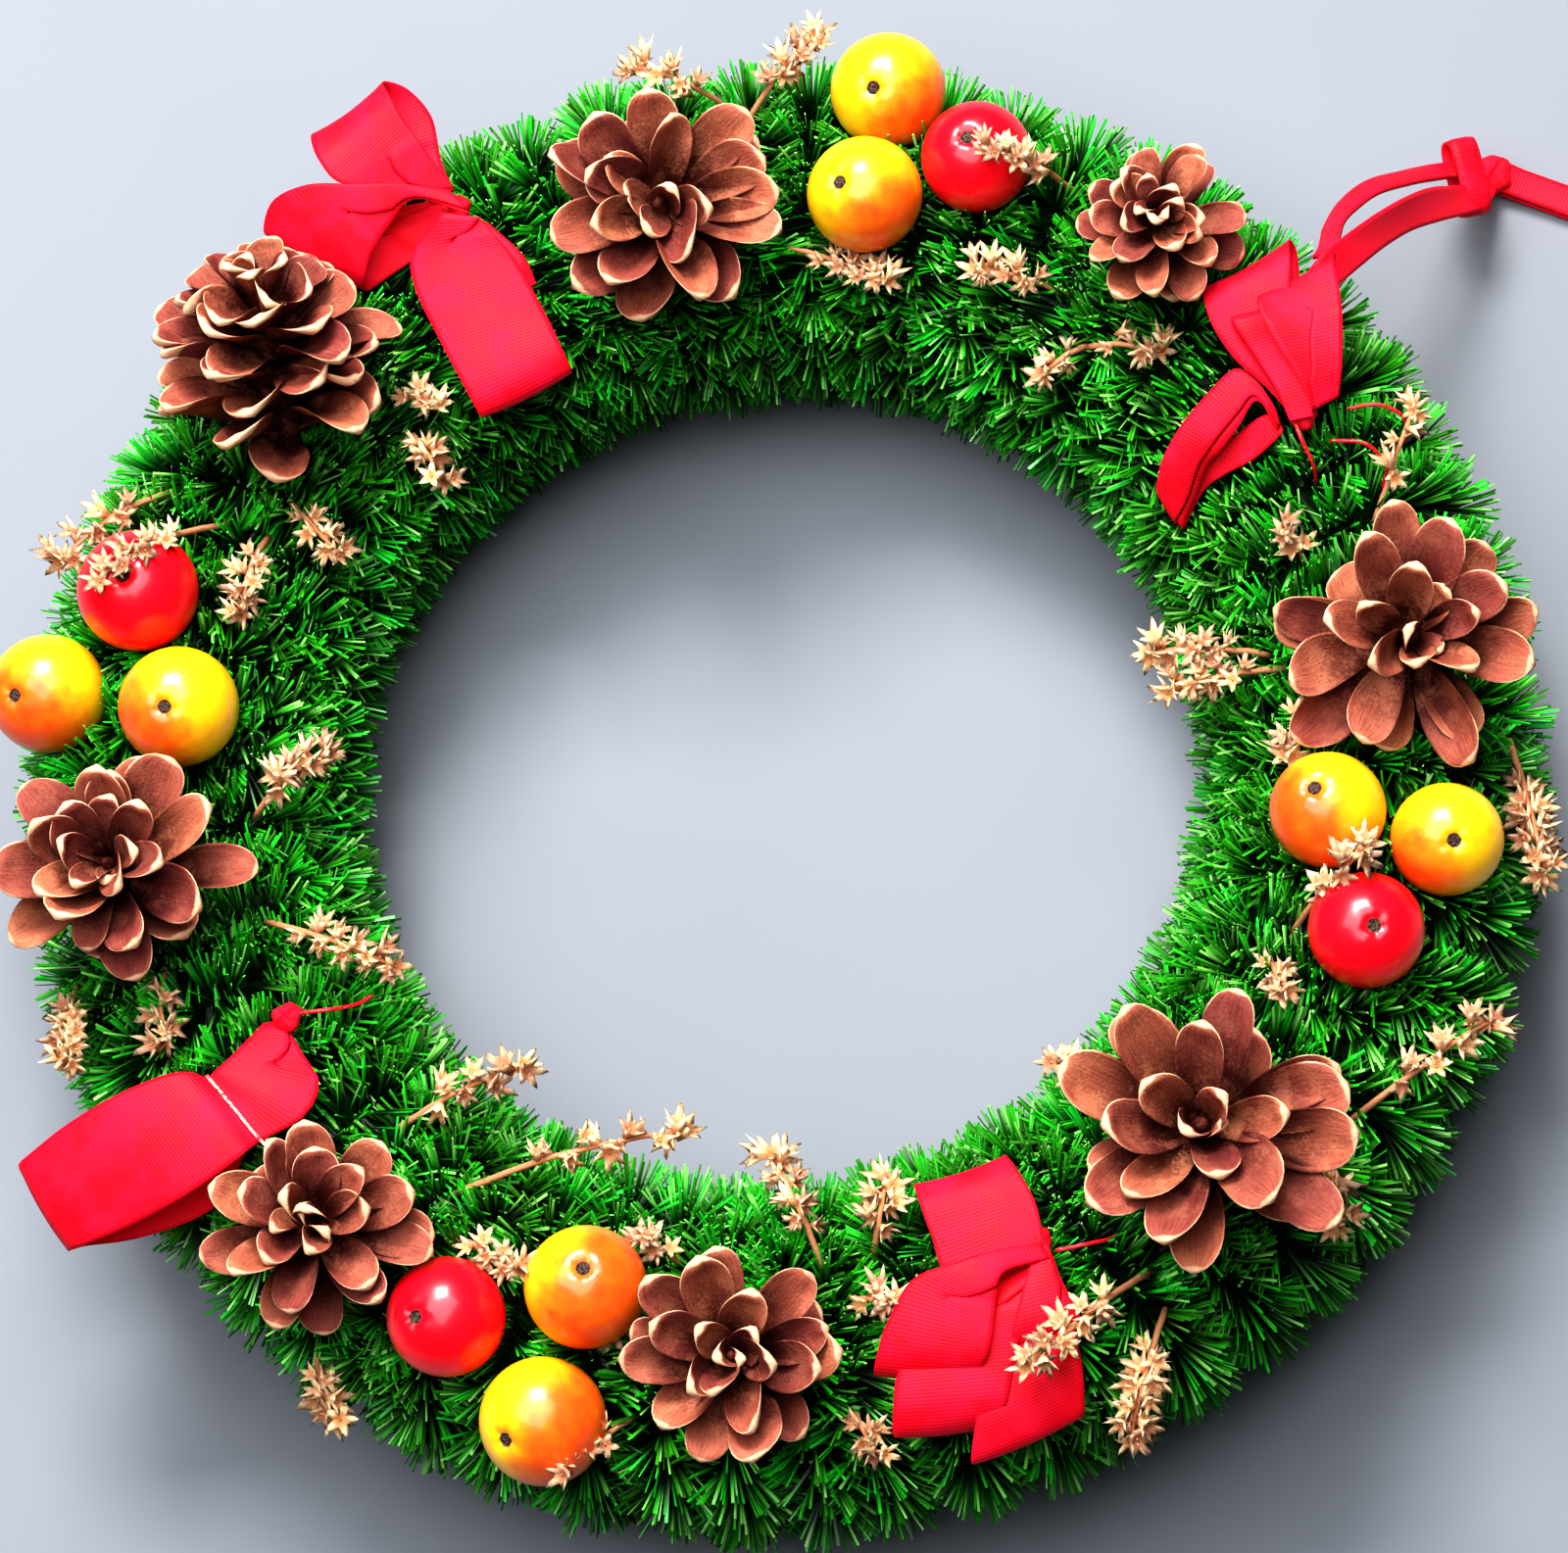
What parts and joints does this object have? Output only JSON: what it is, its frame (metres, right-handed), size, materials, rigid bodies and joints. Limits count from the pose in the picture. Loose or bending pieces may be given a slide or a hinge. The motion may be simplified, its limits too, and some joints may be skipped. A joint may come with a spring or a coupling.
{
  "type": "christmas wreath",
  "caption": "Round artificial Christmas wreath of short green needles with open pine cones, red and yellow apples, red ribbon bows, dried sprigs and a ribbon hanging loop.",
  "frame": {"origin": "centre of the wreath's bounding box at the table it lies on, measured without the hanging loop", "axes": "+Z out of the decorated front, away from the table; +Y towards the hanging loop; +X to the right as seen from the front with the hanging loop on top"},
  "size_m": [0.32, 0.3988, 0.1027],
  "materials": {
    "straw": "matte pressed straw",
    "garland": "glossy green needle foil",
    "cone": "dry matte scales, paler at their lips",
    "red_fruit": "high gloss lacquer",
    "yellow_fruit": "high gloss lacquer, blushed orange on one side",
    "ribbon": "fine ribbed weave with a soft sheen",
    "sprig": "dry, matte"
  },
  "bodies": {
    "root": {"pine_cone_1": "cone", "pine_cone_2": "cone", "pine_cone_3": "cone", "pine_cone_4": "cone", "pine_cone_5": "cone", "pine_cone_6": "cone", "pine_cone_7": "cone", "pine_cone_8": "cone", "fruit_top_far": "yellow_fruit", "fruit_top_near": "yellow_fruit", "fruit_top_red": "red_fruit", "fruit_right_inner": "yellow_fruit", "fruit_right_outer": "yellow_fruit", "fruit_right_red": "red_fruit", "fruit_bottom_red": "red_fruit", "fruit_bottom_inner": "yellow_fruit", "fruit_bottom_outer": "yellow_fruit", "fruit_left_red": "red_fruit", "fruit_left_outer": "yellow_fruit", "fruit_left_inner": "yellow_fruit", "bow_left": "ribbon", "bow_hanger": "ribbon", "bow_bottom": "ribbon", "bow_right": "ribbon", "hanging_loop": "ribbon", "dried_sprig_1": "sprig", "dried_sprig_2": "sprig", "dried_sprig_3": "sprig", "dried_sprig_4": "sprig", "dried_sprig_5": "sprig", "dried_sprig_6": "sprig", "dried_sprig_7": "sprig", "dried_sprig_8": "sprig", "dried_sprig_9": "sprig", "dried_sprig_10": "sprig", "dried_sprig_11": "sprig", "dried_sprig_12": "sprig", "dried_sprig_13": "sprig", "dried_sprig_14": "sprig", "dried_sprig_15": "sprig", "dried_sprig_16": "sprig", "dried_sprig_17": "sprig", "dried_sprig_18": "sprig", "dried_sprig_19": "sprig", "dried_sprig_20": "sprig", "dried_sprig_21": "sprig", "dried_sprig_22": "sprig", "straw_ring": "straw", "garland_1": "garland", "garland_2": "garland", "garland_3": "garland", "garland_4": "garland", "garland_5": "garland", "garland_6": "garland", "garland_7": "garland", "garland_8": "garland", "garland_9": "garland", "garland_10": "garland", "garland_11": "garland", "garland_12": "garland"}
  },
  "joints": []
}
